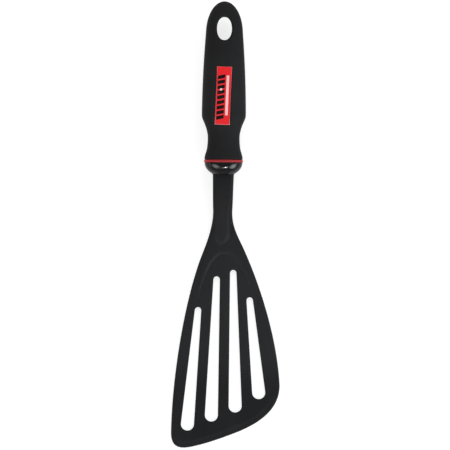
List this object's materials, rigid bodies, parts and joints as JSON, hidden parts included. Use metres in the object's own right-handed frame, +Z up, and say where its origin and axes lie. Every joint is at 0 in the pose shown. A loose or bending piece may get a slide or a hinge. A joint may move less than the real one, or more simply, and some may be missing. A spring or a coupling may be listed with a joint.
{
  "type": "slotted turner",
  "caption": "Slotted nylon turner with an offset, slant-fronted blade, a glossy bolster, a thin coloured ring and a soft grip with a hang hole.",
  "frame": {"origin": "centre of the footprint box, on the surface that the turner lies on with its blade down flat", "axes": "+Z up out of the blade's upper face, +Y along the turner from the blade tip towards the end of the grip, +X to the right seen from above with the grip away from the viewer"},
  "size_m": [0.0754, 0.31, 0.0218],
  "materials": {
    "nylon": "fine matte moulded nylon",
    "gloss_black": "polished",
    "ring_red": "satin red",
    "core_plastic": "as moulded",
    "soft_grip": "soft matte",
    "pin_steel": "plain",
    "adhesive": "film",
    "badge_red": "glossy red",
    "badge_black": "glossy black",
    "badge_white": "glossy pale pink-white"
  },
  "bodies": {
    "root": {"turner_blade": "nylon", "bolster": "gloss_black", "accent_ring": "ring_red", "handle_core": "core_plastic", "grip_sleeve": "soft_grip", "tang_pins": "pin_steel", "badge_adhesive": "adhesive", "badge_plate": "badge_red", "badge_bars": "badge_black", "badge_stripe": "badge_white"}
  },
  "joints": []
}
